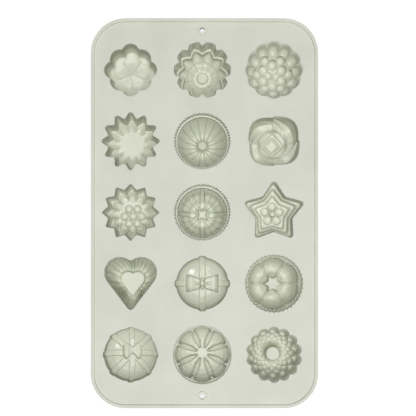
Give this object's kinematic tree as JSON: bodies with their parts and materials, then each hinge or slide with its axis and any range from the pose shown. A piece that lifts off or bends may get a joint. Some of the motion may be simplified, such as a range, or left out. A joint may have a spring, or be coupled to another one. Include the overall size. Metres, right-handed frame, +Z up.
{
  "type": "silicone candy mold",
  "caption": "Flexible silicone mould for sweets: a flat deck with a raised rim, sculpted cavities hung under it in rows, and a hanging hole at each end.",
  "frame": {"origin": "centre of the deck's outline, at the height of the deepest cups' feet", "axes": "+Y along the mould's length towards the row with the pansy cup, +X across it, +Z up out of the cavities"},
  "size_m": [0.172, 0.295, 0.02],
  "materials": {
    "silicone": "satin, pale sage green, lightly translucent"
  },
  "bodies": {
    "root": {"deck": "silicone", "rim": "silicone", "hanging_collar_top": "silicone", "hanging_collar_bottom": "silicone", "cup_pansy": "silicone", "cup_star_bundt": "silicone", "cup_raspberry": "silicone", "cup_daisy": "silicone", "cup_fluted_bundt": "silicone", "cup_rose": "silicone", "cup_lotus": "silicone", "cup_ribbon_bundt": "silicone", "cup_star": "silicone", "cup_heart": "silicone", "cup_gift_round": "silicone", "cup_wreath_bundt": "silicone", "cup_gift_eight_band": "silicone", "cup_pumpkin": "silicone", "cup_beaded_bundt": "silicone"}
  },
  "joints": []
}
